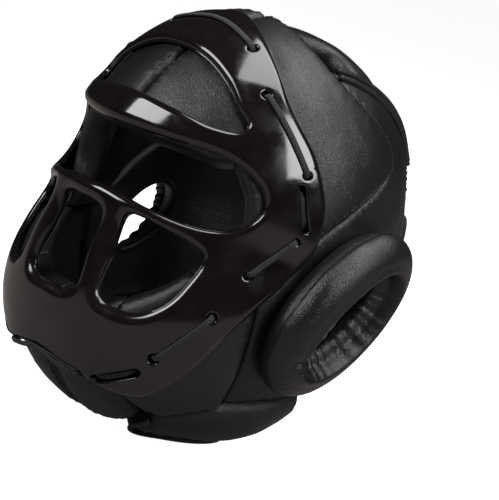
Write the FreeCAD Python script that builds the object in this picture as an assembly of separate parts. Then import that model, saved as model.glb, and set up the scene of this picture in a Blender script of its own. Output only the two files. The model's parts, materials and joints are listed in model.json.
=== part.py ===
import FreeCAD, Part
import math
import os

# Boxing headgear: padded shell, padded ear cups, moulded face cage held on by a lace,
# open crown with a padded crown piece on tapes, and a neck pad closed by a hook-and-loop strap.
# Millimetres.  +Z is up, the face looks along -Y and the wearer's left is +X.

V = FreeCAD.Vector

# ---- driving dimensions: the padded shell ----
head_centre = V(0, 10, 125)
shell_half_width = 94.5
shell_radii = [112, 119, 124, 128, 128, 121, 115, 107, 108, 122, 138, 139]
shell_roundness = [2.0, 2.0, 2.1, 2.2, 2.2, 2.1, 2.1, 2.1, 2.3, 3.0, 2.5, 2.3]
pad_thickness = 20.0
leather = 1.4
chin_seam_x = 42.0
layer_gap = 0.3
seat_gap = 0.1
far = 200.0

# ---- driving dimensions: the rear wings, neck pad and closure ----
wing_drop = 4.0
wing_front_x = 52.0
wing_rear_x = 56.0
neck_free_x = -52.0
neck_bottom_z = 62.0
neck_top_z = 176.0
neck_peak_z = 186.0
loop_thickness = 1.5
loop_half_height = 26.0
hook_thickness = 1.4
strap_thickness = 3.0
strap_half_height = 20.0
strap_z = 131.0
strap_tip_x = 50.0
anchor_length = 18.0

# ---- driving dimensions: the crown piece ----
crown_front_y = 3.5
crown_thickness = 11.8
crown_base_gap = 0.2
crown_tip_half_width = 17.0
crown_half_span = 48.5
crown_rear_y = 92.5
crown_middle_y = 48.0
crown_waist = 23.0
tape_thickness = 1.6
tape_half_width = 10.0
tape_overlap = 22.0

# ---- driving dimensions: the ear cups ----
ear_y = 14.5
ear_z = 102.0
ear_half_length = 45.0
ear_half_width = 30.0
ear_roll_radius = 13.5
ear_lean = 42.0
ear_flare = 12.0
ear_back_turn = 10.0
ear_stand_off = 1.0

# ---- driving dimensions: the face cage ----
cage_roundness = [1.9, 1.95, 2.1, 2.2, 2.2, 2.3, 2.3, 2.3, 2.3, 3.0, 2.5, 2.35]
cage_standoff = [11, 8, 5, 4, 4, 4, 4, 4, 4, 4, 12, 6]
cage_wall = 8.5
cage_side_standoff = 4.0
cage_side_band = 17.5
cage_gap = 0.4
window_corner = 7.0

# ---- driving dimensions: lace and piping ----
lace_radius = 1.6
lace_gap = 0.3
lace_slot_width = 5.0
lace_dip = 4.5
lace_tail_stations = (-22, -7, 9)
piping_radius = 2.0
piping_lift = 1.1

os.makedirs("parts", exist_ok=True)


def save(name, shape):
    """Writes one sub-part in the headgear's final frame."""
    placed = shape.copy()
    placed.translate(frame_shift)
    placed.exportStep("parts/" + name + ".step")


# ---- the head form: a rounded body that every layer is taken from ----

def around(values, angle):
    """Value at an angle, smoothly between values given every 30 degrees; 0 is forward, 90 is up."""
    step = 360.0 / len(values)
    place = (angle % 360) / step
    index = int(math.floor(place))
    u = place - index
    a, b, c, d = [values[(index + k) % len(values)] for k in (-1, 0, 1, 2)]
    return b + 0.5 * u * (c - a + u * (2 * a - 5 * b + 4 * c - d + u * (3 * (b - c) + d - a)))


def shell_form(grow=0.0):
    return ([r + grow for r in shell_radii], shell_half_width + grow, shell_roundness)


def cage_form(inner=False):
    """Outer or inner face of the cage: it lies on the padding and bulges away at the mouth and chin."""
    radii = []
    for r, off in zip(shell_radii, cage_standoff):
        wall = min(cage_wall, off - cage_gap) if inner else 0.0
        radii.append(r + off - wall)
    side_wall = cage_side_standoff - cage_gap if inner else 0.0
    return (radii, shell_half_width + cage_side_standoff - side_wall, cage_roundness)


def reach(form, direction):
    """Distance from the head's centre to a form's surface along a direction."""
    radii, half_width, roundness = form
    rise = math.hypot(direction.y, direction.z)
    angle = math.degrees(math.atan2(direction.z, -direction.y))
    n = around(roundness, angle)
    return ((abs(direction.x) / half_width) ** n + (rise / around(radii, angle)) ** n) ** (-1.0 / n)


def on_surface(form, point):
    """The place on a form's surface straight out from the head's centre through a point."""
    direction = point - head_centre
    direction.normalize()
    return head_centre + direction * reach(form, direction)


def edge_of(form, start, direction):
    """The place where a line from inside a form comes out through its surface."""
    near, out = 0.0, far
    for _ in range(40):
        middle = (near + out) / 2
        place = start + direction * middle
        offset = place - head_centre
        heading = V(offset)
        heading.normalize()
        if offset.Length < reach(form, heading):
            near = middle
        else:
            out = middle
    return start + direction * near


def form_solid(form):
    """Solid head form, lofted through side-to-side sections."""
    radii, half_width, roundness = form
    wires = []
    for psi in (-80, -66, -52, -38, -24, -10, 10, 24, 38, 52, 66, 80):
        x = half_width * math.sin(math.radians(psi))
        points = []
        for k in range(24):
            angle = 15.0 * k
            n = around(roundness, angle)
            r = around(radii, angle) * (1 - (abs(x) / half_width) ** n) ** (1.0 / n)
            y = head_centre.y - r * math.cos(math.radians(angle))
            z = head_centre.z + r * math.sin(math.radians(angle))
            points.append(V(x, y, z))
        curve = Part.BSplineCurve()
        curve.interpolate(Points=points, PeriodicFlag=True)
        wires.append(Part.Wire([curve.toShape()]))
    return Part.makeLoft(wires, True, False)


def layer(outer, inner):
    return form_solid(outer).cut(form_solid(inner))


# ---- outlines and prisms ----

def drawn_in(outline, inset):
    """A closed straight-edged outline with every edge moved inward by an inset (outward if negative)."""
    count = len(outline)
    area = sum(outline[i - 1][0] * outline[i][1] - outline[i][0] * outline[i - 1][1] for i in range(count))
    sign = math.copysign(1.0, area)
    moved = []
    for i in range(count):
        lines = []
        for a, b in ((outline[i - 1], outline[i]), (outline[i], outline[(i + 1) % count])):
            length = math.hypot(b[0] - a[0], b[1] - a[1])
            normal = (-sign * (b[1] - a[1]) / length, sign * (b[0] - a[0]) / length)
            lines.append((normal, normal[0] * a[0] + normal[1] * a[1] + inset))
        (m, c), (n, d) = lines
        cross = m[0] * n[1] - m[1] * n[0]
        if abs(cross) < 1e-6:
            moved.append((outline[i][0] + m[0] * inset, outline[i][1] + m[1] * inset))
        else:
            moved.append(((c * n[1] - d * m[1]) / cross, (m[0] * d - n[0] * c) / cross))
    return moved


def prism(plane, outline, start, end, inset=0.0):
    """Extrudes an outline drawn in the 'yz', 'xz' or 'xy' plane from start to end along the normal."""
    outline = drawn_in(outline, inset) if inset else outline
    if plane == "yz":
        points = [V(start, p, q) for p, q in outline]
        run = V(end - start, 0, 0)
    elif plane == "xz":
        points = [V(p, start, q) for p, q in outline]
        run = V(0, end - start, 0)
    else:
        points = [V(p, q, start) for p, q in outline]
        run = V(0, 0, end - start)
    return Part.Face(Part.makePolygon(points + [points[0]])).extrude(run)


def both_sides(half):
    """Closes a right-hand half outline, listed from top to bottom, with its mirror image."""
    return half + [(-x, z) for x, z in reversed(half) if x > 0]


def corner_arc(before, corner, after, radius=None, share=0.45):
    """Tangent arc at a corner: of a given radius where the runs have room, or as large as they allow."""
    one = before - corner
    two = after - corner
    trim = share * min(one.Length, two.Length)
    half_turn = one.getAngle(two) / 2
    if radius:
        trim = min(trim, radius / math.tan(half_turn))
    one.normalize()
    two.normalize()
    toward = one + two
    toward.normalize()
    bend = trim * math.tan(half_turn)
    middle = corner + toward * (bend / math.sin(half_turn) - bend)
    return corner + one * trim, middle, corner + two * trim


def rounded_prism(outline, start, end, radius):
    """Prism along Y through an outline in the xz plane, with its upright corners rounded."""
    points = [V(x, start, z) for x, z in outline]
    count = len(points)
    arcs = [corner_arc(points[i - 1], points[i], points[(i + 1) % count], radius) for i in range(count)]
    edges = []
    for i, (first, middle, last) in enumerate(arcs):
        edges.append(Part.LineSegment(arcs[i - 1][2], first).toShape())
        edges.append(Part.Arc(first, middle, last).toShape())
    return Part.Face(Part.Wire(edges)).extrude(V(0, end - start, 0))


def rounded_path(points):
    """Wire of straight runs joined by tangent arcs."""
    edges = []
    last = points[0]
    for i in range(1, len(points) - 1):
        start, middle, end = corner_arc(points[i - 1], points[i], points[i + 1])
        edges.append(Part.LineSegment(last, start).toShape())
        edges.append(Part.Arc(start, middle, end).toShape())
        last = end
    edges.append(Part.LineSegment(last, points[-1]).toShape())
    return Part.Wire(edges)


def tube(points, radius):
    """Round cord along a path of runs and arcs."""
    path = rounded_path(points)
    start = points[0]
    circle = Part.Wire([Part.makeCircle(radius, start, points[1] - start)])
    sweep = path.makePipeShell([circle], True, False)
    print("tube", round(path.Length, 1), round(sweep.Volume / (math.pi * radius ** 2 * path.Length), 3))
    return sweep


# ---- panel regions of the padded shell, for the wearer's left (+X) ----
# Side view outlines are (y, z); front view outlines are (x, z).

brow_z = 176.0
lip_z = 76.0
ear_front = (-44, 107)
jaw_corner = (-35, 34)
jaw_rear_top = (24, 44)
jaw_rear = (34, 30)
jaw_base_z = 7.0
jaw_base_rear_y = 18
chin_rear_y = -62
panel_rear_edge = [(-5, 246), (-2, 235), (8, 226), (23, 216), (38, 204), (44, 190), (40, 182), (15, 165),
                   (-9, 147)]
under_rim = [(-44, 262), (-53, 234), (-53, 207), (-60, 186), (-75, 166)]
wing_top_edge = [(2, 246), (38, 222), (70, 207), (110, 193), (150, 188)]
wing_base_edge = [(150, 30), (60, 34)]


def face_opening(grow):
    """The opening for the face: brow, cheeks and lip."""
    half = [(56, brow_z), (72, 164), (74, 140), (64, 110), (50, 90), (32, lip_z)]
    return prism("xz", both_sides(half), -far, 0, -grow if grow else 0.0)


def neck_opening(grow):
    """The neck hole under the shell."""
    half = [(38, 78), (44, 20), (38, -62), (20, -76)]
    outline = [(x, y) for x, y in half] + [(-x, y) for x, y in reversed(half)]
    return prism("xy", outline, -far, 60, -grow if grow else 0.0)


def ear_hole(grow):
    """Oval way through the side panel, in line with the ear cup's own opening."""
    long_half = ear_half_length - ear_roll_radius + grow
    short_half = ear_half_width - ear_roll_radius + grow
    oval = Part.Face(Part.Wire([Part.Ellipse(V(0, 0, 0), long_half, short_half).toShape()]))
    oval.translate(V(0, 0, -far / 4))
    hole = oval.extrude(V(0, 0, far / 2))
    hole.Placement = ear_placement()
    return hole


def ear_placement():
    """Places a flat ring, drawn with its length along X, against the side of the head."""
    upright = FreeCAD.Rotation(V(1, 0, 0), -ear_lean).multiply(FreeCAD.Rotation(V(0, 1, 0), 90))
    swing = FreeCAD.Rotation(V(0, 0, 1), ear_back_turn)
    flare = FreeCAD.Rotation(V(0, 1, 0), ear_flare)
    turn = swing.multiply(flare).multiply(upright)
    centre = edge_of(shell_form(ear_stand_off), V(0, ear_y, ear_z), V(1, 0, 0))
    return FreeCAD.Placement(centre, turn)


def forehead_region(inset):
    """In front of the seam that runs under the cage's rim, down to the brow."""
    outline = [(-far, 290), (under_rim[0][0], 290)] + under_rim + [(-far, under_rim[-1][1])]
    return prism("yz", outline, inset, far, inset).cut(face_opening(inset))


def side_region(inset):
    """From the seam under the rim back over the top and the temple to the rear edge."""
    outline = ([(under_rim[0][0], 290), (panel_rear_edge[0][0], 290)] + panel_rear_edge
               + [ear_front, (-far, ear_front[1]), (-far, under_rim[-1][1])] + list(reversed(under_rim)))
    return prism("yz", outline, inset, far, inset).cut(face_opening(inset))


def cheek_region(inset):
    outline = [(-far, ear_front[1]), ear_front, jaw_corner, (chin_rear_y, 21), (-far, 21)]
    block = prism("yz", outline, chin_seam_x + inset, far, inset)
    return block.cut(face_opening(inset))


def chin_region(inset):
    outline = [(-far, ear_front[1]), (chin_rear_y, ear_front[1]), (chin_rear_y, -20), (-far, -20)]
    block = prism("yz", outline, inset, chin_seam_x - inset, inset)
    return block.cut(face_opening(inset))


def jaw_region(inset):
    outline = [(chin_rear_y, 21), jaw_corner, jaw_rear_top, jaw_rear, (jaw_base_rear_y, jaw_base_z),
               (chin_rear_y, jaw_base_z)]
    block = prism("yz", outline, 0, far, inset)
    return block.cut(neck_opening(inset))


def wing_side(inset):
    """Everything outside the wing's inner edge, seen from above."""
    plan = [(wing_front_x, -far), (wing_front_x, 60), (wing_rear_x, 90), (wing_rear_x, far),
            (far, far), (far, -far)]
    return prism("xy", plan, -20, 300, inset)


def wing_region(inset):
    outline = ([jaw_corner, ear_front] + list(reversed(panel_rear_edge[2:])) + wing_top_edge
               + wing_base_edge + [jaw_rear, jaw_rear_top])
    block = prism("yz", outline, 0, far, inset)
    return block.common(wing_side(inset)).cut(ear_hole(inset))


def neck_region(inset):
    half_span = wing_rear_x
    outline = [(neck_free_x, neck_bottom_z + 10), (neck_free_x + 12, neck_bottom_z),
               (half_span - 12, neck_bottom_z), (half_span, neck_bottom_z + 10), (half_span, neck_peak_z),
               (20, neck_top_z), (-16, neck_top_z), (neck_free_x, neck_peak_z)]
    return prism("xz", outline, 40, far, inset).cut(wing_side(-inset))


def crown_region(inset):
    """Four-pointed outline, seen from above."""
    tip = crown_tip_half_width
    side_half = tip - 2
    half = [(tip, crown_front_y), (crown_waist, crown_middle_y - crown_waist),
            (crown_half_span, crown_middle_y - side_half), (crown_half_span, crown_middle_y + side_half),
            (crown_waist, crown_middle_y + crown_waist), (tip, crown_rear_y)]
    return prism("xy", both_sides(half), 130, 300, inset)


def padded(region, skin, core):
    """Leather cover and the foam inside it, for one panel."""
    whole = region(0.0).common(skin)
    foam = region(leather).common(core)
    return whole.cut(foam), foam


def mirrored(shape):
    return shape.mirror(V(0, 0, 0), V(1, 0, 0))


def single(shape):
    """The one solid of a boolean result; the largest, should a crumb be left."""
    return max(shape.Solids, key=lambda s: s.Volume)


# ---- the padded panels ----

pieces = {}


def add_pair(name, cover, foam):
    for part, shape in (("cover", cover), ("foam", foam)):
        body = single(shape)
        pieces[name + "_" + part + "_left"] = body
        pieces[name + "_" + part + "_right"] = mirrored(body)


shell_skin = layer(shell_form(), shell_form(-pad_thickness))
shell_core = layer(shell_form(-leather), shell_form(leather - pad_thickness))
wing_skin = layer(shell_form(-wing_drop), shell_form(-pad_thickness))
wing_core = layer(shell_form(-wing_drop - leather), shell_form(leather - pad_thickness))
crown_base = pad_thickness - crown_base_gap
crown_drop = crown_base - crown_thickness
crown_skin = layer(shell_form(-crown_drop), shell_form(-crown_base))
crown_core = layer(shell_form(-crown_drop - leather), shell_form(leather - crown_base))

for name, region, skin, core in (
        ("forehead", forehead_region, shell_skin, shell_core),
        ("side", side_region, shell_skin, shell_core),
        ("cheek", cheek_region, shell_skin, shell_core),
        ("chin", chin_region, shell_skin, shell_core),
        ("jaw", jaw_region, shell_skin, shell_core),
        ("wing", wing_region, wing_skin, wing_core)):
    add_pair(name, *padded(region, skin, core))

for name, region, skin, core in (
        ("neck", neck_region, wing_skin, wing_core),
        ("crown", crown_region, crown_skin, crown_core)):
    cover, foam = padded(region, skin, core)
    pieces[name + "_cover"] = single(cover)
    pieces[name + "_foam"] = single(foam)


# ---- ear cups: a padded roll round each ear hole ----

def ear_roll(radius):
    spine = Part.Wire([Part.Ellipse(V(0, 0, 0), ear_half_length, ear_half_width).toShape()])
    start = spine.Edges[0].valueAt(spine.Edges[0].FirstParameter)
    tangent = spine.Edges[0].tangentAt(spine.Edges[0].FirstParameter)
    circle = Part.Wire([Part.makeCircle(radius, start, tangent)])
    roll = spine.makePipeShell([circle], True, False)
    roll.Placement = ear_placement()
    return roll


def seated(roll, gap):
    """A roll cut to lie on the wing, and on the higher panels where it reaches over them."""
    roll = roll.cut(form_solid(shell_form(gap - wing_drop)))
    raised = form_solid(shell_form(gap))
    for region in (side_region, cheek_region, jaw_region):
        roll = roll.cut(region(-gap).common(raised))
    return roll


def ear_cup():
    whole = seated(ear_roll(ear_roll_radius), seat_gap)
    foam = single(seated(ear_roll(ear_roll_radius - leather), seat_gap + leather))
    return single(whole.cut(foam)), foam


add_pair("ear", *ear_cup())


# ---- tapes under the crown piece, and the neck closure ----

def band(plane, outline, start, end, outer_grow, inner_grow):
    """Thin layer of tape, webbing or panel lying on the head form."""
    sheet = layer(shell_form(outer_grow), shell_form(inner_grow))
    return single(prism(plane, outline, start, end).common(sheet))


tape_top = -pad_thickness - layer_gap / 2
tape_plan = [(crown_half_span - tape_overlap, crown_middle_y - tape_half_width),
             (wing_front_x + tape_overlap / 2, crown_middle_y - tape_half_width),
             (wing_front_x + tape_overlap / 2, crown_middle_y + tape_half_width),
             (crown_half_span - tape_overlap, crown_middle_y + tape_half_width)]
side_tape = band("xy", tape_plan, 130, 300, tape_top, tape_top - tape_thickness)
pieces["crown_tape_left"] = side_tape
pieces["crown_tape_right"] = mirrored(side_tape)
rear_tape_side = [(crown_rear_y - tape_overlap, 300), (far, 300), (far, neck_top_z - tape_overlap),
                  (crown_rear_y - tape_overlap, neck_top_z - tape_overlap)]
pieces["crown_tape_rear"] = band("yz", rear_tape_side, -tape_half_width, tape_half_width,
                                 tape_top, tape_top - tape_thickness)


def back_strip(x_from, x_to, half_height, outer_grow, thickness):
    """Upright strip round the back of the head."""
    outline = [(x_from, strap_z - half_height), (x_to, strap_z - half_height),
               (x_to, strap_z + half_height), (x_from, strap_z + half_height)]
    return band("xz", outline, 40, far, outer_grow, outer_grow - thickness)


loop_top = layer_gap + loop_thickness - wing_drop
hook_top = loop_top + layer_gap + hook_thickness
strap_top = hook_top + strap_thickness
strap_root_x = -wing_rear_x - 4.0
root_gap = 0.6
pieces["loop_panel"] = back_strip(neck_free_x + 6, wing_rear_x - 4, loop_half_height, loop_top, loop_thickness)
pieces["hook_tape"] = back_strip(neck_free_x + 10, strap_tip_x - 2, strap_half_height - 2, hook_top,
                                 hook_thickness)
pieces["closure_strap"] = back_strip(strap_root_x + root_gap, strap_tip_x, strap_half_height, strap_top,
                                     strap_thickness)
pieces["strap_anchor"] = back_strip(strap_root_x - anchor_length, strap_root_x, strap_half_height,
                                    strap_top, strap_top + wing_drop - layer_gap / 2)


# ---- the face cage: one moulding, cut from a thick shell ----

cage_edge = [(-25, 270), (-26, 246), (-37, 234), (-37, 210), (-24, 186), (-16, 160), (-18, 135),
             (-33, 116), (-48, 99), (-60, 82), (-73, 51), (-81, 38), (-90, 34), (-112, 41), (-far, 44)]
eye_half_width = shell_half_width + cage_side_standoff - cage_side_band


def cage_region():
    """In front of the cage's rear and lower edge, seen from the side."""
    front = [V(0, -far, 44), V(0, -far, 270), V(0, -25, 270)]
    curve = Part.BSplineCurve()
    curve.interpolate(Points=[V(0, y, z) for y, z in cage_edge])
    edges = [curve.toShape(), Part.makePolygon([front[0], front[1], front[2]])]
    face = Part.Face(Part.Wire([edges[0]] + edges[1].Edges))
    face.translate(V(-far, 0, 0))
    return face.extrude(V(2 * far, 0, 0))


def cage_windows():
    """Forehead window, eye window, two mouth windows beside the bars and one between them."""
    forehead = [(20, 225), (52, 206), (61, 193), (30, 191)]
    eyes = [(64, 178), (eye_half_width, 166), (eye_half_width, 148), (66, 137), (20, 142)]
    centre = [(17.5, 132), (20, 82)]
    side = [(30.5, 132), (48, 129), (69, 124), (68, 97), (57, 83), (33, 82)]
    cutters = [rounded_prism(both_sides(outline), -far, 0, window_corner)
               for outline in (forehead, eyes, centre)]
    left = rounded_prism(side, -far, 0, window_corner)
    return cutters + [left, mirrored(left)]


# ---- the lace that binds the cage's rim to the shell ----
# Each place is where the lace goes through the rim, from the crown down to the chin.

lace_holes = [V(33, -45, 232), V(56, -49, 212), V(85, -33, 174), V(90, -28, 145), V(83, -52, 117),
              V(78, -65, 95), V(61, -85, 62), V(34, -100, 40)]


def rim_point(place, lift):
    """A place on the cage's outer face, raised along the way out from the head's centre."""
    surface = on_surface(cage_form(), place)
    outward = surface - head_centre
    outward.normalize()
    return surface + outward * lift


def lace_slot(start, end):
    """Slot through the rim, where the lace runs beneath."""
    a = rim_point(start, 0)
    b = rim_point(end, 0)
    along = b - a
    length = along.Length
    outward = (a + b) * 0.5 - head_centre
    across = along.cross(outward)
    outward = across.cross(along)
    turn = FreeCAD.Rotation(along, across, outward, "XZY")
    box = Part.makeBox(length, lace_slot_width, 40, V(0, -lace_slot_width / 2, -20))
    ends = [Part.makeCylinder(lace_slot_width / 2, 40, V(x, 0, -20)) for x in (0, length)]
    slot = box.fuse(ends)
    slot.Placement = FreeCAD.Placement(a, turn)
    return slot


def toward(place, other, step):
    """A place one step from a hole on the way to another."""
    run = other - place
    run.normalize()
    return place + run * step


def lace_path():
    """Over and under the rim, from the chin up the wearer's left, over the crown and down the right."""
    over = lace_gap + lace_radius
    lifts = (over, -over)
    chin = lace_holes[-1]
    tail = [V(x, chin.y, chin.z) for x in lace_tail_stations]
    holes = list(reversed(lace_holes)) + [V(-p.x, p.y, p.z) for p in lace_holes]
    points = [rim_point(place, over) for place in tail]
    before = tail[-1]
    for i, place in enumerate(holes):
        after = holes[i + 1] if i + 1 < len(holes) else tail[0]
        lift_in, lift_out = lifts[i % 2], lifts[1 - i % 2]
        points.append(rim_point(toward(place, before, lace_dip), lift_in))
        points.append(rim_point(toward(place, after, lace_dip), lift_out))
        if i + 1 < len(holes):
            points.append(rim_point((place + after) * 0.5, lift_out))
        before = place
    return points


cage = layer(cage_form(), cage_form(inner=True)).common(cage_region())
cage = cage.cut(form_solid(shell_form(cage_gap)))
for cutter in cage_windows():
    cage = cage.cut(cutter)
for first in range(0, len(lace_holes) - 1, 2):
    slot = lace_slot(lace_holes[first], lace_holes[first + 1])
    cage = cage.cut(slot).cut(mirrored(slot))
cage = cage.cut(tube(lace_path(), lace_radius + lace_gap))
pieces["face_cage"] = single(cage)
pieces["cage_lace"] = tube(lace_path(), lace_radius)


# ---- piping along the open edges ----

jaw_points = []
for y in (-50, -33, -16, 1, jaw_base_rear_y - 2):
    edge = edge_of(shell_form(), V(0, y, jaw_base_z + 0.5), V(1, 0, 0))
    jaw_points.append(V(edge.x - piping_radius, y, jaw_base_z - piping_radius - layer_gap / 2))

wing_points = []
for y in (16, 36, 57, 78, 94):
    inner_edge = V(wing_front_x + piping_radius + piping_lift, y, head_centre.z)
    wing_points.append(edge_of(shell_form(piping_radius + piping_lift - wing_drop), inner_edge, V(0, 0, 1)))

neck_points = []
for x in (-36, -18, 0, 18, 38):
    edge = edge_of(shell_form(-wing_drop - piping_radius), V(x, head_centre.y, neck_bottom_z), V(0, 1, 0))
    neck_points.append(V(edge.x, edge.y, neck_bottom_z - piping_radius - layer_gap / 2))

for name, points in (("jaw", jaw_points), ("wing", wing_points)):
    roll = tube(points, piping_radius)
    pieces[name + "_piping_left"] = roll
    pieces[name + "_piping_right"] = mirrored(roll)
pieces["neck_piping"] = tube(neck_points, piping_radius)


# ---- final frame: origin under the middle of the headgear, on the surface it stands on ----

whole = FreeCAD.BoundBox()
for shape in pieces.values():
    whole.add(shape.optimalBoundingBox(False))
frame_shift = V(-(whole.XMin + whole.XMax) / 2, -(whole.YMin + whole.YMax) / 2, -whole.ZMin)
print("frame shift", frame_shift, "size", whole.XLength, whole.YLength, whole.ZLength)
for name, shape in pieces.items():
    print(name, shape.isValid(), len(shape.Solids), round(shape.Volume))
    save(name, shape)
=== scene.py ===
"""Looks of the boxing headgear: leather pads, moulded cage, lace, ear rolls, crown piece, neck closure."""
import json
import math

import bmesh
import bpy
import numpy as np
from mathutils import Matrix, Vector
from mathutils.bvhtree import BVHTree
from mathutils.geometry import delaunay_2d_cdt


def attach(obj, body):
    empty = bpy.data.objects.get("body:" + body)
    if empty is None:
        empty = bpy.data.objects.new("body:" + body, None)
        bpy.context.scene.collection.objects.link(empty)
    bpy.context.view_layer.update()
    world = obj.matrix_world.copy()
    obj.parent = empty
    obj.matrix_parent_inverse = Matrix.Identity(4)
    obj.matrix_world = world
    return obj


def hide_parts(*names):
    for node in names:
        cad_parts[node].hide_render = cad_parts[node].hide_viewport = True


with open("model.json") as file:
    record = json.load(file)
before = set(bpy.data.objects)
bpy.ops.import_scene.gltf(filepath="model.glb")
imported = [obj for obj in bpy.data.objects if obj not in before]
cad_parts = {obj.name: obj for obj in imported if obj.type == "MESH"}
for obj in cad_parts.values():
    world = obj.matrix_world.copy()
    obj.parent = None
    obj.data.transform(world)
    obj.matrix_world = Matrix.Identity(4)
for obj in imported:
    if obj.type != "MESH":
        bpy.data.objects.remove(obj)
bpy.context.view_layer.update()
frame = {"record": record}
MM = 0.001

# The maker's pattern is drawn in millimetres about the middle of the head, HEAD, with +Z up and the
# face towards -Y; the frame says where that middle is.
HEAD = Vector((0.0, 10.0, 125.0))
head_in_frame = Vector(frame["record"]["mounts"][0]["pos_m"]) / MM
TO_FRAME = head_in_frame - HEAD
MIDDLE = np.array(HEAD)


# ---------------------------------------------------------------- camera

VIEW_AZIMUTH = 42.0
VIEW_ELEVATION = 10.5
VIEW_ROLL = 16.0
VIEW_DISTANCE = 1100.0
LENS = 133.8
AIM = Vector((0.0, 0.0, 125.0))
AIM_RIGHT = 19.2
AIM_UP = -16.6


def place_camera():
    """Camera in front of the wearer's left eye, a little above, with the head tilted clockwise."""
    az, el, roll = (math.radians(a) for a in (VIEW_AZIMUTH, VIEW_ELEVATION, VIEW_ROLL))
    back = Vector((math.sin(az) * math.cos(el), -math.cos(az) * math.cos(el), math.sin(el)))
    right = Vector((math.cos(az), math.sin(az), 0.0))
    up = back.cross(right)
    tilted_right = right * math.cos(roll) + up * math.sin(roll)
    tilted_up = -right * math.sin(roll) + up * math.cos(roll)
    aim = (AIM + TO_FRAME + tilted_right * AIM_RIGHT + tilted_up * AIM_UP) * MM
    data = bpy.data.cameras.new("camera")
    data.lens = LENS
    data.sensor_width = 36.0
    data.clip_end = 20.0
    camera = bpy.data.objects.new("camera", data)
    axes = Matrix((tilted_right, tilted_up, back)).transposed()
    camera.matrix_world = Matrix.Translation(aim + back * VIEW_DISTANCE * MM) @ axes.to_4x4()
    bpy.context.scene.collection.objects.link(camera)
    bpy.context.scene.camera = camera


place_camera()


# ---------------------------------------------------------------- the head form

def unit(rows):
    """Rows scaled to a length of 1."""
    return rows / np.linalg.norm(rows, axis=1, keepdims=True).clip(1e-9)


def run_lengths(path):
    """Length along a path up to each of its points."""
    return np.concatenate([[0], np.cumsum(np.linalg.norm(np.diff(path, axis=0), axis=1))])


class HeadForm:
    """Rounded body given by a side profile, a half width and a roundness every 30 degrees round it."""

    def __init__(self, radii, half_width, roundness):
        self.radii = np.array(radii, float)
        self.half_width = half_width
        self.roundness = np.array(roundness, float)

    @staticmethod
    def around(values, angle):
        place = (angle % 360.0) / 360.0 * len(values)
        index = np.floor(place).astype(int)
        u = place - index
        a, b, c, d = (values[(index + k) % len(values)] for k in (-1, 0, 1, 2))
        return b + 0.5 * u * (c - a + u * (2 * a - 5 * b + 4 * c - d + u * (3 * (b - c) + d - a)))

    def reach(self, ways):
        """Distance from the middle of the head to the surface, along unit directions (n, 3)."""
        rise = np.hypot(ways[:, 1], ways[:, 2])
        angle = np.degrees(np.arctan2(ways[:, 2], -ways[:, 1]))
        n = self.around(self.roundness, angle)
        side = np.abs(ways[:, 0]) / self.half_width
        return (side ** n + (rise / self.around(self.radii, angle)) ** n) ** (-1.0 / n)

    def edge_from(self, start, way):
        """Where a line from inside the form comes out through its surface."""
        near, out = 0.0, 250.0
        for _ in range(30):
            middle = 0.5 * (near + out)
            offset = np.array(start) + np.array(way) * middle - MIDDLE
            length = np.linalg.norm(offset)
            if length < self.reach(offset[None, :] / length)[0]:
                near = middle
            else:
                out = middle
        return np.array(start) + np.array(way) * near


SHELL_RADII = [112, 119, 124, 128, 128, 121, 115, 107, 108, 122, 138, 139]
SHELL_ROUNDNESS = [2.0, 2.0, 2.1, 2.2, 2.2, 2.1, 2.1, 2.1, 2.3, 3.0, 2.5, 2.3]
SHELL_HALF_WIDTH = 94.5
CAGE_STANDOFF = [11, 8, 5, 4, 4, 4, 4, 4, 4, 4, 12, 6]
CAGE_ROUNDNESS = [1.9, 1.95, 2.1, 2.2, 2.2, 2.3, 2.3, 2.3, 2.3, 3.0, 2.5, 2.35]
CAGE_SIDE_STANDOFF = 4.0

shell = HeadForm(SHELL_RADII, SHELL_HALF_WIDTH, SHELL_ROUNDNESS)
cage_radii = [r + s for r, s in zip(SHELL_RADII, CAGE_STANDOFF)]
cage_form = HeadForm(cage_radii, SHELL_HALF_WIDTH + CAGE_SIDE_STANDOFF, CAGE_ROUNDNESS)


def front(x, z, form=shell):
    """Place on the front of the head, given across and up."""
    return form.edge_from((x, HEAD.y, z), (0, -1, 0))


def back(x, z, form=shell):
    return form.edge_from((x, HEAD.y, z), (0, 1, 0))


def side(y, z, form=shell):
    """Place on the wearer's left side, given forward and up."""
    return form.edge_from((0, y, z), (1, 0, 0))


def top(x, y, form=shell):
    return form.edge_from((x, y, HEAD.z), (0, 0, 1))


def row(surface, *spots):
    """Places on one surface of the head, each given by its two coordinates."""
    return [surface(*spot) for spot in spots]


def mirror_places(places):
    return [np.array((-p[0], p[1], p[2])) for p in reversed(places)]


# ---------------------------------------------------------------- sheets cut and shaped on the head form

class Chart:
    """Flat pattern paper held against the head: distances are true along lines from its middle."""
    SPREAD = 110.0

    def __init__(self, facing, up=(0, 0, 1)):
        self.facing = np.array(Vector(facing).normalized())
        ahead = Vector(facing)
        upward = Vector(up) - ahead * Vector(up).dot(ahead) / ahead.length_squared
        self.up = np.array(upward.normalized())
        self.right = np.cross(self.up, self.facing)

    def flat(self, places):
        """Pattern coordinates (mm) of places round the head."""
        ways = unit(np.array(places, float) - MIDDLE)
        angle = np.arccos(np.clip(ways @ self.facing, -1, 1))
        u, v = ways @ self.right, ways @ self.up
        length = np.hypot(u, v).clip(1e-9)
        return np.stack([u, v], 1) * (angle / length * self.SPREAD)[:, None]

    def ways(self, points):
        """Directions from the middle of the head through pattern points."""
        angle = np.hypot(points[:, 0], points[:, 1]) / self.SPREAD
        scale = np.where(angle > 1e-6, np.sin(angle) / (angle * self.SPREAD).clip(1e-9), 1 / self.SPREAD)
        across = points[:, :1] * self.right + points[:, 1:] * self.up
        return np.cos(angle)[:, None] * self.facing + across * scale[:, None]


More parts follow.
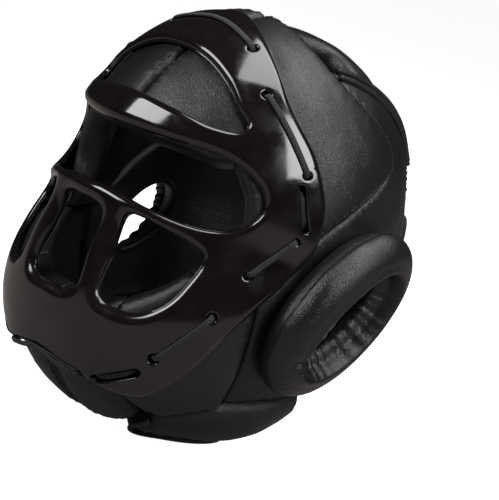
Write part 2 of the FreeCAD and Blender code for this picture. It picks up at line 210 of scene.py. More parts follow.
def curve_through(points, corners=(), closed=True, step=2.0):
    """Evenly stepped curve through pattern points, smooth but at the listed corners."""
    points = np.array(points, float)
    count = len(points)
    out = []
    for i in range(count if closed else count - 1):
        j = (i + 1) % count
        before = points[i] if i in corners or (not closed and i == 0) else points[i - 1]
        last_open = not closed and j == count - 1
        after = points[j] if j in corners or last_open else points[(j + 1) % count]
        length = np.linalg.norm(points[j] - points[i])
        n = max(2, int(round(length / step)))
        u = (np.arange(n) / n)[:, None]
        out.append(hermite(points[i], points[j], before, after, u))
    if not closed:
        out.append(points[-1:])
    return np.concatenate(out)


def hermite(start, end, before, after, u):
    """Centripetal-like cubic between two points, with slopes scaled to the run's own length."""
    run = np.linalg.norm(end - start)

    def slope(a, b, c):
        return (c - a) / max(np.linalg.norm(c - a), 1e-9) * run

    m0 = slope(before, start, end)
    m1 = slope(start, end, after)
    h00, h10 = 2 * u ** 3 - 3 * u ** 2 + 1, u ** 3 - 2 * u ** 2 + u
    h01, h11 = -2 * u ** 3 + 3 * u ** 2, u ** 3 - u ** 2
    return h00 * start + h10 * m0 + h01 * end + h11 * m1


def distance_to(points, loops):
    """Distance from points to the nearest outline, and the length along the outline there."""
    best = np.full(len(points), 1e9)
    along = np.zeros(len(points))
    run = 0.0
    for loop in loops:
        starts, ends = loop, np.roll(loop, -1, axis=0)
        spans = ends - starts
        lengths = np.linalg.norm(spans, axis=1).clip(1e-9)
        offsets = run + np.concatenate([[0], np.cumsum(lengths)[:-1]])
        for a, s, length, offset in zip(starts, spans, lengths, offsets):
            t = np.clip(((points - a) @ s) / length ** 2, 0, 1)
            d = np.hypot(*(points - a - t[:, None] * s).T)
            closer = d < best
            best[closer] = d[closer]
            along[closer] = (offset + t * length)[closer]
        run += lengths.sum() + 50
    return best, along


def inside(points, loops):
    """Whether points lie inside the first outline and outside the others."""
    result = np.zeros(len(points), bool)
    x, y = points.T
    for loop in loops:
        ax, ay = loop.T
        bx, by = np.roll(loop, -1, axis=0).T
        for x0, y0, x1, y1 in zip(ax, ay, bx, by):
            crosses = (y0 > y) != (y1 > y)
            if crosses.any():
                edge_x = (x1 - x0) * (y - y0) / (y1 - y0 + 1e-12) + x0
                result ^= crosses & (x < edge_x)
    return result


def pattern_mesh(loops, grid, rings):
    """Triangles that fill an outline with holes: rings of points along the edges and an even grid inside."""
    points = [np.concatenate(loops)]
    for ring in rings:
        for loop in loops:
            tangent = unit(np.roll(loop, -1, axis=0) - np.roll(loop, 1, axis=0))
            normal = np.stack([-tangent[:, 1], tangent[:, 0]], 1)
            for sign in (1, -1):
                moved = loop + normal * ring * sign
                d, _ = distance_to(moved, loops)
                points.append(moved[(d > ring * 0.97) & inside(moved, loops)])
    low, high = loops[0].min(0), loops[0].max(0)
    xs = np.arange(low[0], high[0], grid)
    ys = np.arange(low[1], high[1], grid * math.sqrt(3) / 2)
    lattice = np.array([(x + (j % 2) * grid / 2, y) for j, y in enumerate(ys) for x in xs])
    d, _ = distance_to(lattice, loops)
    points.append(lattice[(d > rings[-1] + grid * 0.55) & inside(lattice, loops)])
    points = np.concatenate(points)
    edges = []
    base = 0
    for loop in loops:
        edges += [(base + i, base + (i + 1) % len(loop)) for i in range(len(loop))]
        base += len(loop)
    flat, _, faces, _, _, _ = delaunay_2d_cdt([Vector(p) for p in points], edges, [], 0, 1e-4)
    flat = np.array([tuple(p) for p in flat])
    faces = np.array([f for f in faces if len(f) == 3])
    middle = flat[faces].mean(1)
    faces = faces[inside(middle, loops)]
    a, b, c = flat[faces[:, 0]], flat[faces[:, 1]], flat[faces[:, 2]]
    turn = (b - a)[:, 0] * (c - a)[:, 1] - (b - a)[:, 1] * (c - a)[:, 0]
    faces[turn < 0] = faces[turn < 0][:, ::-1]
    faces = faces[np.abs(turn) > 1e-6]
    return flat, faces


def smooth_noise(places, size, seed=0):
    """Gentle unevenness, about -1 to 1, with bumps of a given size in mm."""
    rng = np.random.RandomState(seed)
    total = np.zeros(len(places))
    for _ in range(10):
        way = rng.normal(size=3)
        way /= np.linalg.norm(way)
        total += np.sin(places @ way * (2 * math.pi / size) * rng.uniform(0.6, 1.5) + rng.uniform(0, 6.28))
    return total / 4.0


def new_object(name, verts, faces, uvs=None):
    """Mesh object from pattern places (mm), moved to the frame."""
    mesh = bpy.data.meshes.new(name)
    moved = (np.array(verts) + np.array(TO_FRAME)) * MM
    mesh.from_pydata([tuple(v) for v in moved], [], [tuple(int(i) for i in f) for f in faces])
    if uvs is not None:
        layer = mesh.uv_layers.new(name="pattern")
        corner_verts = np.zeros(len(mesh.loops), int)
        mesh.loops.foreach_get("vertex_index", corner_verts)
        layer.data.foreach_set("uv", (np.array(uvs)[corner_verts] * 0.01).ravel())
    mesh.shade_smooth()
    obj = bpy.data.objects.new(name, mesh)
    bpy.context.scene.collection.objects.link(obj)
    return obj


def drape(name, chart, loops, outer, inner, rings, grid=3.0):
    """Closed sheet on the head: outer(ways, d, along) and inner(...) give how far out each face lies."""
    flat, faces = pattern_mesh(loops, grid, rings)
    d, along = distance_to(flat, loops)
    ways = chart.ways(flat)
    outside = MIDDLE + ways * outer(ways, d, along)[:, None]
    lining = MIDDLE + ways * inner(ways, d, along)[:, None]
    count = len(flat)
    walls = [(a, a + count, b + count, b) for a, b in border_edges(faces)]
    all_faces = [tuple(f) for f in faces] + [tuple(f[::-1] + count) for f in faces] + walls
    obj = new_object(name, np.concatenate([outside, lining]), all_faces, np.concatenate([flat, flat]))
    fix_normals(obj)
    return obj


def border_edges(faces):
    """Directed edges used by one triangle only."""
    used = {}
    for f in faces:
        for i in range(3):
            used[(int(f[i]), int(f[(i + 1) % 3]))] = True
    return [(a, b) for a, b in used if (b, a) not in used]


def fix_normals(obj):
    made = bmesh.new()
    made.from_mesh(obj.data)
    bmesh.ops.recalc_face_normals(made, faces=made.faces)
    made.to_mesh(obj.data)
    made.free()


def rounded(d, radius):
    """How far a rounded edge drops at a distance from the outline."""
    u = np.clip(1 - d / radius, 0, 1)
    return radius * (1 - np.sqrt(np.clip(1 - u ** 2, 0, 1)))


def mirrored_object(obj, name):
    """The wearer's-right twin of a piece."""
    twin = obj.copy()
    twin.data = obj.data.copy()
    twin.name = name
    twin.data.name = name
    bpy.context.scene.collection.objects.link(twin)
    co = np.zeros(len(twin.data.vertices) * 3)
    twin.data.vertices.foreach_get("co", co)
    co = co.reshape(-1, 3)
    co[:, 0] = 2 * TO_FRAME.x * MM - co[:, 0]
    twin.data.vertices.foreach_set("co", co.ravel())
    twin.data.flip_normals()
    return twin


def wear(obj, body, slot, material, *nodes):
    """Binds a finished piece to its body, finish and the CAD nodes it stands for."""
    obj.data.materials.clear()
    obj.data.materials.append(material)
    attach(obj, body)
    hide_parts(*nodes)


def wear_pair(left, slot, material, *nodes, fill=None):
    """Binds a left piece and its mirrored twin to the shell; nodes are named without their side."""
    right = mirrored_object(left, left.name.replace("left", "right"))
    for piece, hand in ((left, "_left"), (right, "_right")):
        wear(piece, "shell", slot, material, *(node + hand for node in nodes))


# ---------------------------------------------------------------- finishes

def group(name, inputs, outputs):
    """Empty shader node group with named number sockets: its tree, what goes in and what comes out."""
    tree = bpy.data.node_groups.new(name, "ShaderNodeTree")
    kind = "NodeSocketFloat"
    for socket, value in inputs.items():
        tree.interface.new_socket(socket, in_out="INPUT", socket_type=kind).default_value = value
    for socket in outputs:
        tree.interface.new_socket(socket, in_out="OUTPUT", socket_type=kind)
    return tree, tree.nodes.new("NodeGroupInput").outputs, tree.nodes.new("NodeGroupOutput").inputs


class Nodes:
    """Short way to add and join nodes in a tree."""

    def __init__(self, tree):
        self.tree = tree

    def add(self, kind, inputs=None, **settings):
        node = self.tree.nodes.new(kind)
        for key, value in settings.items():
            setattr(node, key, value)
        for key, value in (inputs or {}).items():
            self.put(node.inputs[key], value)
        return node

    def put(self, socket, value):
        if isinstance(value, bpy.types.NodeSocket):
            self.tree.links.new(value, socket)
        else:
            socket.default_value = value

    def math(self, operation, a, b=0.0, clamp=False):
        node = self.add("ShaderNodeMath", {0: a, 1: b}, operation=operation, use_clamp=clamp)
        return node.outputs[0]

    def spread(self, value, low, high, to_low=0.0, to_high=1.0):
        node = self.add("ShaderNodeMapRange", {"Value": value, "From Min": low, "From Max": high,
                                               "To Min": to_low, "To Max": to_high})
        return node.outputs["Result"]

    def mix(self, factor, a, b):
        node = self.add("ShaderNodeMix", data_type="RGBA")
        self.put(node.inputs["Factor"], factor)
        self.put(node.inputs["A"], a)
        self.put(node.inputs["B"], b)
        return node.outputs["Result"]

    def place(self):
        return self.add("ShaderNodeTexCoord").outputs["Object"]

    def noise(self, place, scale, detail, roughness=0.5):
        return self.add("ShaderNodeTexNoise", {"Vector": place, "Scale": scale, "Detail": detail,
                                               "Roughness": roughness}).outputs

    def use(self, tree, **values):
        return self.add("ShaderNodeGroup", values, node_tree=tree).outputs

    def emboss(self, shader, height, strength, distance):
        bump = self.add("ShaderNodeBump", {"Height": height, "Strength": strength, "Distance": distance})
        self.put(shader.inputs["Normal"], bump.outputs["Normal"])


def make_grain():
    """Leather grain: small rounded cells with fine creases between them, and a slow unevenness."""
    tree, given, results = group("leather_grain", {"Scale": 900.0, "Crease": 0.5}, ("Height", "Unevenness"))
    n = Nodes(tree)
    place = n.place()
    warp = n.noise(place, 260.0, 2.0)["Color"]
    shift = (0.0016, 0.0016, 0.0016)
    bent = n.add("ShaderNodeVectorMath", {0: warp, 1: shift}, operation="MULTIPLY").outputs[0]
    moved = n.add("ShaderNodeVectorMath", {0: place, 1: bent}, operation="ADD").outputs[0]
    cells = n.add("ShaderNodeTexVoronoi", {"Vector": moved, "Scale": given["Scale"]},
                  feature="DISTANCE_TO_EDGE").outputs["Distance"]
    domes = n.math("MULTIPLY", n.spread(cells, 0.0, 0.22), 0.6)
    creased = n.math("MULTIPLY", n.noise(moved, 170.0, 6.0, 0.7)["Fac"], given["Crease"])
    n.put(results["Height"], n.math("ADD", domes, creased))
    n.put(results["Unevenness"], n.noise(place, 22.0, 3.0)["Fac"])
    return tree


def make_weave():
    """Woven tape: over-and-under ribs across and along, from the pattern coordinates."""
    tree, given, results = group("tape_weave", {"Threads": 60.0, "Slant": 0.0}, ("Height", "Gaps"))
    n = Nodes(tree)
    pattern = n.add("ShaderNodeUVMap", uv_map="pattern").outputs["UV"]
    parts = n.add("ShaderNodeSeparateXYZ", {"Vector": pattern})
    along = n.math("ADD", parts.outputs["X"], n.math("MULTIPLY", parts.outputs["Y"], given["Slant"]))
    u = n.math("MULTIPLY", along, given["Threads"])
    v = n.math("MULTIPLY", parts.outputs["Y"], given["Threads"])
    warp = n.math("ABSOLUTE", n.math("SINE", n.math("MULTIPLY", u, math.pi)))
    weft = n.math("ABSOLUTE", n.math("SINE", n.math("MULTIPLY", v, math.pi)))
    over = n.math("GREATER_THAN", n.math("SINE", n.math("MULTIPLY", n.math("ADD", u, v), math.pi)), 0.0)
    height = n.add("ShaderNodeMix", {"Factor": over, "A": warp, "B": weft}, data_type="FLOAT")
    n.put(results["Height"], height.outputs["Result"])
    n.put(results["Gaps"], n.math("SUBTRACT", 1.0, n.math("MULTIPLY", warp, weft)))
    return tree


def make_handling():
    """Signs of handling: fine dust and rubbed patches, as a mask from 0 to 1."""
    tree, given, results = group("handling", {"Scale": 40.0, "Amount": 0.5}, ("Mask", "Specks"))
    n = Nodes(tree)
    place = n.place()
    broad = n.noise(place, given["Scale"], 5.0, 0.6)["Fac"]
    fine = n.noise(place, 1900.0, 2.0)["Fac"]
    n.put(results["Mask"], n.math("MULTIPLY", n.spread(broad, 0.42, 0.7), given["Amount"]))
    n.put(results["Specks"], n.math("MULTIPLY", n.spread(fine, 0.66, 0.75), given["Amount"]))
    return tree


GRAIN = make_grain()
WEAVE = make_weave()
HANDLING = make_handling()


def new_finish(name):
    """New material with its node helper and its shader."""
    material = bpy.data.materials.new(name)
    material.use_nodes = True
    return material, Nodes(material.node_tree), material.node_tree.nodes["Principled BSDF"]


def leather_finish(name, dark, light, rough, grain_depth, crease=0.5):
    """Satin coated leather with a fine pressed grain."""
    material, n, shader = new_finish(name)
    grain = n.use(GRAIN, Scale=850.0, Crease=crease)
    handling = n.use(HANDLING, Scale=30.0, Amount=0.35)
    colour = n.mix(grain["Unevenness"], dark, light)
    n.put(shader.inputs["Base Color"], n.mix(handling["Specks"], colour, (0.12, 0.12, 0.125, 1.0)))
    uneven = n.spread(grain["Unevenness"], 0.3, 0.7, rough - 0.05, rough + 0.05)
    rubbed = n.math("SUBTRACT", uneven, n.math("MULTIPLY", handling["Mask"], 0.10))
    n.put(shader.inputs["Roughness"], rubbed)
    n.emboss(shader, grain["Height"], grain_depth, 0.0004)
    return material


def cage_finish():
    """Glossy moulded plastic with a faint moulding ripple and a few scuffs."""
    material, n, shader = new_finish("moulded_gloss")
    scuffs = n.use(HANDLING, Scale=55.0, Amount=0.6)["Mask"]
    n.put(shader.inputs["Base Color"], n.mix(scuffs, (0.0075, 0.0055, 0.0055, 1), (0.012, 0.009, 0.009, 1)))
    n.put(shader.inputs["Roughness"], n.spread(scuffs, 0.0, 0.6, 0.10, 0.24))
    n.emboss(shader, n.noise(n.place(), 28.0, 2.0)["Fac"], 0.25, 0.002)
    shader.inputs["Coat Weight"].default_value = 0.4
    shader.inputs["Coat Roughness"].default_value = 0.06
    return material


def woven_finish(name, dark, light, threads, depth=0.6, slant=0.0):
    """Woven tape or lace."""
    material, n, shader = new_finish(name)
    weave = n.use(WEAVE, Threads=threads, Slant=slant)
    handling = n.use(HANDLING, Scale=60.0, Amount=0.5)
    colour = n.mix(weave["Gaps"], light, dark)
    n.put(shader.inputs["Base Color"], n.mix(handling["Specks"], colour, grey(0.16)))
    n.put(shader.inputs["Roughness"], n.spread(weave["Height"], 0.0, 1.0, 0.9, 0.62))
    n.emboss(shader, weave["Height"], depth, 0.0006)
    shader.inputs["Sheen Weight"].default_value = 0.15
    return material


def loop_finish(name, dark, light, scale, depth):
    """Brushed loop fabric or hook tape: a dense, uneven pile."""
    material, n, shader = new_finish(name)
    place = n.place()
    curls = n.add("ShaderNodeTexVoronoi", {"Vector": place, "Scale": scale}).outputs["Distance"]
    tufts = n.noise(place, scale * 0.4, 6.0)["Fac"]
    pile = n.math("ADD", n.math("MULTIPLY", curls, 0.7), n.math("MULTIPLY", tufts, 0.8))
    n.put(shader.inputs["Base Color"], n.mix(n.spread(pile, 0.3, 0.95), dark, light))
    shader.inputs["Roughness"].default_value = 0.95
    n.emboss(shader, pile, depth, 0.0012)
    shader.inputs["Sheen Weight"].default_value = 0.3
    return material


def grey(value):
    return (value, value, value, 1)


LEATHER = leather_finish("pad_leather", (0.0085, 0.0078, 0.0076, 1), (0.013, 0.012, 0.0118, 1), 0.38, 0.35)
SOFT_LEATHER = leather_finish("ear_leather", (0.009, 0.0085, 0.0083, 1), (0.014, 0.0132, 0.013, 1), 0.36,
                              0.35, crease=0.9)
PIPING = leather_finish("piping_leather", grey(0.010), grey(0.020), 0.36, 0.3)
GLOSS = cage_finish()
LACE = woven_finish("lace_braid", grey(0.004), (0.022, 0.022, 0.023, 1), 95.0, 0.7, slant=0.6)
TAPE = woven_finish("woven_tape", grey(0.004), grey(0.020), 80.0)
THREAD = woven_finish("thread", grey(0.004), grey(0.020), 240.0, 0.4, slant=0.8)
LOOP = loop_finish("loop_pile", (0.006, 0.006, 0.005, 1), (0.030, 0.031, 0.025, 1), 1400.0, 0.9)
HOOK = loop_finish("hook_pile", grey(0.004), grey(0.030), 900.0, 1.0)


# ---------------------------------------------------------------- the face cage

CAGE_WALL = 8.5
CAGE_GAP = 0.6
CAGE_EDGE_RADIUS = 4.0
CAGE_INNER_RADIUS = 2.0
SLOT_EDGE_RADIUS = 0.9
CAGE_FRAME_LOOPS = 6    # the rim and the five windows, listed before the lace holes

FACE = Chart((0, -1, 0.05))

RIM_SIDE = [(-38, 231), (-37, 210), (-24, 186), (-16, 160), (-18, 136), (-33, 116), (-48, 99), (-60, 82),
            (-68, 64), (-77, 46), (-86, 35)]
RIM_CHIN = [(23, 39), (0, 41.5)]
FOREHEAD_WINDOW = [(0, 227), (22, 224), (42, 214), (53, 204), (61, 195), (52, 191.5), (30, 195), (0, 197.5)]
EYE_WINDOW = [(0, 179), (34, 179), (62, 177.5), (76, 168), (81, 156), (77, 143), (66, 137), (40, 139),
              (16, 143), (0, 143.5)]
CENTRE_WINDOW = [(0, 133.5), (11, 133), (17.5, 129), (18.5, 108), (20, 87), (14, 82), (0, 81.5)]
MOUTH_WINDOW = [(33, 133.5), (48, 131), (64, 126), (69, 121), (68.5, 104), (65, 92), (56, 83), (40, 82.5),
                (33.5, 87), (31.5, 108), (29.5, 129)]
LACE_STITCHES = [((56, -49, 212), (85, -31, 177)), ((90, -31, 141), (82.5, -53, 118)),
                 ((77.5, -66, 94), (62.5, -84, 66))]
CROWN_STITCH = (33, -45, 232)
CHIN_STITCH = (29, -103, 40.5)
LACE_SLOTS = [((85.7, -33, 170), (91, -27, 148)), ((56, -87, 56), (38, -99, 42))]
EYELET_RADIUS = 2.6
SLOT_HALF_WIDTH = 2.3


def whole_loop(half):
    """Places of a symmetric outline from its right half, listed from the top middle to the bottom middle."""
    half = [np.array(p, float) for p in half]
    twins = [np.array((-p[0], p[1], p[2])) for p in reversed(half) if abs(p[0]) > 0.01]
    return half + twins


def on_form(form, place, lift=0.0):
    """The place on a form straight out from the head's middle through a point, raised by a lift."""
    way = np.array(place, float) - MIDDLE
    way /= np.linalg.norm(way)
    return MIDDLE + way * (form.reach(way[None, :])[0] + lift)


def slot_loop(start, end, chart, half):
    """Round-ended slot outline between two places on the rim; a round hole where they are the same."""
    a, b = chart.flat([start, end])
    length = np.linalg.norm(b - a)
    along = (b - a) / length if length > 0.01 else np.array((1.0, 0.0))
    across = np.array((-along[1], along[0]))
    out = []
    for centre, first in ((b, -90), (a, 90)):
        for k in range(8):
            angle = math.radians(first + 22.5 * k)
            out.append(centre + half * (along * math.cos(angle) + across * math.sin(angle)))
    return np.array(out)


def resample(loop, step):
    """Evenly spaced points along a closed outline."""
    closed = np.concatenate([loop, loop[:1]])
    lengths = run_lengths(closed)
    count = max(12, int(lengths[-1] / step))
    at = np.arange(count) / count * lengths[-1]
    return np.stack([np.interp(at, lengths, closed[:, k]) for k in (0, 1)], 1)


def outline(chart, places, corners=(), step=2.2):
    """Evenly stepped pattern outline through places round the head."""
    return resample(curve_through(chart.flat(places), corners), step)


def cage_outlines():
    """Rim and windows, then the eyelets and slots of the lace."""
    rim = [(0, -25, 246), (20, -31, 242)] + [side(y, z, cage_form) for y, z in RIM_SIDE]
    rim += [front(x, z, cage_form) for x, z in RIM_CHIN]
    outlines = [whole_loop(rim)]
    for window in (FOREHEAD_WINDOW, EYE_WINDOW, CENTRE_WINDOW):
        outlines.append(whole_loop([front(x, z, cage_form) for x, z in window]))
    mouth = [front(x, z, cage_form) for x, z in MOUTH_WINDOW]
    outlines += [mouth, mirror_places(mouth)]
    loops = [outline(FACE, places, step=2.0) for places in outlines]
    eyelets = [p for stitch in LACE_STITCHES for p in stitch] + [CROWN_STITCH, CHIN_STITCH]
    for place in eyelets:
        for spot in (place, *mirror_places([place])):
            loops.append(slot_loop(spot, spot, FACE, EYELET_RADIUS))
    for ends in LACE_SLOTS:
        for pair in (ends, mirror_places(ends)):
            loops.append(resample(slot_loop(*pair, FACE, SLOT_HALF_WIDTH), 1.4))
    return loops


def make_cage():
    """One moulding: thick shell with rounded windows, bars and rim."""
    frame_loops, slots = cage_loops[:CAGE_FRAME_LOOPS], cage_loops[CAGE_FRAME_LOOPS:]

    def edge_drop(ways, radius):
        points = FACE.flat(MIDDLE + ways)
        to_slot, _ = distance_to(points, slots)
        to_frame, _ = distance_to(points, frame_loops)
        return rounded(to_frame, radius) + rounded(to_slot, SLOT_EDGE_RADIUS)

    def outer(ways, d, along):
        return cage_form.reach(ways) - edge_drop(ways, CAGE_EDGE_RADIUS)

    def inner(ways, d, along):
        wall = np.minimum(CAGE_WALL, cage_form.reach(ways) - shell.reach(ways) - CAGE_GAP)
        edge = np.minimum(edge_drop(ways, CAGE_INNER_RADIUS), wall * 0.3)
        return cage_form.reach(ways) - wall + edge

    cage = drape("face_cage_moulding", FACE, cage_loops, outer, inner, (0.5, 1.2, 2.2, 3.4, 4.6), grid=2.6)
    wear(cage, "shell", "cage", GLOSS, "face_cage")


cage_loops = cage_outlines()
make_cage()


# ---------------------------------------------------------------- padded panels

PAD = 20.0
WING_DROP = 4.0
CROWN_DROP = 8.0
CROWN_BASE = 19.8
SEAM = 0.3
EDGE_ROLL = 5.0
BULGE = 2.4
PAD_FILL = 0.85


def pad_outer(drop=0.0, bulge=BULGE, seed=0):
    """Face of a pad: rolled in at its seams, pressed flat under the cage, fuller where it is free."""

    def outer(ways, d, along):
        places = MIDDLE + ways * shell.reach(ways)[:, None]
        points = FACE.flat(places)
        free, _ = distance_to(points, cage_loops[:1])
        free[inside(points, cage_loops[:1])] = 0.0
        fullness = bulge * (1 - np.exp(-free / 12.0)) * (1 - np.exp(-d / 9.0))
        gathers = np.sin(along * 0.95 + 2.0 * smooth_noise(places, 60, seed + 3))
        gathers += 0.6 * np.sin(along * 1.57 + 3.0 * smooth_noise(places, 45, seed + 4))
        puckers = 0.35 * gathers * np.exp(-((d - 3.5) / 3.2) ** 2)
        soft = 0.35 * smooth_noise(places, 34, seed) + 0.16 * smooth_noise(places, 13, seed + 1)
        soft = (soft - 0.3) * (1 - np.exp(-d / 6.0))
        return shell.reach(ways) - drop + fullness + puckers + soft - rounded(d, EDGE_ROLL)

    return outer


def pad_lining(depth=PAD, roll=6.0):
    def inner(ways, d, along):
        return shell.reach(ways) - depth + rounded(d, roll)

    return inner


def pad(name, facing, places, corners, outer, holes=()):
    """A leather pad cut to an outline of places round the head."""
    chart = Chart(facing)
    loops = [outline(chart, places, corners)] + [outline(chart, hole) for hole in holes]
    return drape(name, chart, loops, outer, pad_lining(), (0.5, 1.4, 2.8, 4.4), grid=3.2)


def paired_pad(piece, facing, runs, corners, outer=None, holes=()):
    """Left pad and its mirrored twin, cut to runs of places, each standing for its own cover and foam."""
    places = [place for run in runs for place in run]
    left = pad(piece + "_pad_left", facing, places, corners, outer or pad_outer(), holes)
    wear_pair(left, "leather", LEATHER, piece + "_cover", piece + "_foam", fill=PAD_FILL)


def run_ends(runs):
    """Where each run starts in the joined outline, and the outline's length."""
    return [0] + [int(end) for end in np.cumsum([len(run) for run in runs])]


CHIN_SEAM_X = 42.0
WING_REAR_X = 56.0
JAW_BASE = 7.2
CHIN_REAR_Y = -62.0

shell_rear = row(top, (SEAM, -5), (27, -6), (50, -2)) + row(side, (8, 226))
under_rim = row(top, (SEAM, -44)) + row(side, (-46, 240), (-53, 226), (-53, 207), (-57, 191))
brow = row(front, (54, 174), (40, 176), (20, 176.5), (SEAM, 177))
brow_end = [front(62, 176)]
forehead_seam = [front(SEAM, 205), top(SEAM, -58)]
panel_rear = row(side, (8, 226), (23, 216), (37, 205), (43.5, 194), (42, 184), (29, 174), (15, 165),
                 (-9, 147), (-28, 127), (-44, 107))
cheek_top = [side(-58, 106), front(64, 110)]
temple = row(front, (70, 124), (74, 140), (72, 158), (66, 170))
cheek_seam = row(side, (-42, 85), (-38, 58), (-35, 34))
jaw_seam = row(side, (-48, 28), (-60, 21))
chin_seam = row(front, (CHIN_SEAM_X, 32), (CHIN_SEAM_X, 58), (CHIN_SEAM_X, 84))
mouth_corner = row(front, (51, 91), (58, 99))
chin_centre = row(front, (SEAM, 55), (SEAM, 30)) + [np.array((SEAM, -84.0, 15.5))]
lip = row(front, (SEAM, 77), (18, 77.5), (32, 80))
flap_top = row(side, (-5, 38.5), (24, 44))
flap_rear = row(side, (33, 30), (20, 9))
flap_base = row(side, (0, JAW_BASE), (-30, JAW_BASE), (-58, JAW_BASE))
wing_top = row(top, (51, 5), (54, 25), (55.5, 50), (55.5, 74)) + [back(WING_REAR_X, 172)]
wing_rear = [back(WING_REAR_X, z) for z in (150, 110, 70, 34)]
wing_base = row(side, (85, 31), (58, 34))


def make_forehead():
    runs = [under_rim + brow_end, brow, forehead_seam]
    corners = (0, len(under_rim), len(under_rim) + len(brow))
    paired_pad("forehead", (0.35, -1, 0.8), runs, corners)


def make_side():
    runs = [shell_rear, panel_rear[1:], cheek_top + temple, brow_end, under_rim[::-1]]
    ends = run_ends(runs)
    corners = (0, ends[2] - 1, ends[2] + 1, ends[4] - 1, ends[5] - 1)
    paired_pad("side", (1, -0.3, 0.8), runs, corners)


def make_cheek():
    runs = [[side(-44, 107)], cheek_seam, jaw_seam, chin_seam, mouth_corner, cheek_top[::-1]]
    ends = run_ends(runs)
    corners = (0, ends[2] - 1, ends[3] - 1, ends[4] - 1, ends[6] - 2)
    paired_pad("cheek", (0.8, -0.8, -0.5), runs, corners)


def make_chin():
    below = [np.array((x, CHIN_REAR_Y, z)) for x, z in ((CHIN_SEAM_X, 20.0), (20.0, 7.5), (SEAM, 6.0))]
    runs = [lip, [front(CHIN_SEAM_X - SEAM, 84)], chin_seam[1::-1], below, chin_centre[::-1]]
    corners = (0, len(lip), len(lip) + 3, len(lip) + 5)
    paired_pad("chin", (0.2, -1, -0.6), runs, corners)


def make_jaw():
    runs = [cheek_seam[-1:], flap_top, flap_rear, flap_base, jaw_seam[::-1]]
    ends = run_ends(runs)
    corners = (0, ends[2] - 1, ends[3] - 1, ends[5] - 3, ends[5] - 2)
    paired_pad("jaw", (0.9, -0.2, -1), runs, corners, pad_outer(bulge=2.0, seed=20))


EAR_Y, EAR_Z = 14.5, 102.0
EAR_LENGTH, EAR_WIDTH, EAR_ROLL = 45.0, 30.0, 13.5
EAR_LEAN, EAR_FLARE, EAR_BACK_TURN = 42.0, 12.0, 10.0
EAR_STAND_OFF = 1.0
EAR_STEPS_ROUND, EAR_STEPS_ACROSS = 176, 72
EAR_PINCH = math.radians(203)
EAR_FILL = 0.8


def ear_frame():
    """Middle of the ear opening, and its long, short and outward directions."""
    middle = Vector(side(EAR_Y, EAR_Z)) + Vector((EAR_STAND_OFF, 0, 0))
    turn = Matrix.Identity(3)
    for degrees, axis in ((EAR_BACK_TURN, "Z"), (EAR_FLARE, "Y"), (-EAR_LEAN, "X"), (90, "Y")):
        turn = turn @ Matrix.Rotation(math.radians(degrees), 3, axis)
    return middle, turn @ Vector((-1, 0, 0)), turn @ Vector((0, 1, 0)), turn @ Vector((0, 0, 1))


def ear_oval(long_half, short_half, count=28):
    middle, long_way, short_way, _ = ear_frame()
    angles = [2 * math.pi * k / count for k in range(count)]
    return [np.array(middle + long_way * long_half * math.cos(a) + short_way * short_half * math.sin(a))
            for a in angles]


def make_wing():
    runs = [panel_rear[::-1], wing_top, wing_rear, wing_base, flap_rear[:1], flap_top[::-1], cheek_seam[::-1]]
    ends = run_ends(runs)
    corners = (0, ends[1] - 1, ends[2] - 1, ends[3] - 1, *ends[4:7])
    hole = ear_oval(EAR_LENGTH - EAR_ROLL, EAR_WIDTH - EAR_ROLL)
    paired_pad("wing", (1, 0.35, 0), runs, corners, pad_outer(drop=WING_DROP, bulge=0.8, seed=30), [hole])


make_forehead()
make_side()
make_cheek()
make_chin()
make_jaw()
make_wing()


# ---------------------------------------------------------------- ear rolls

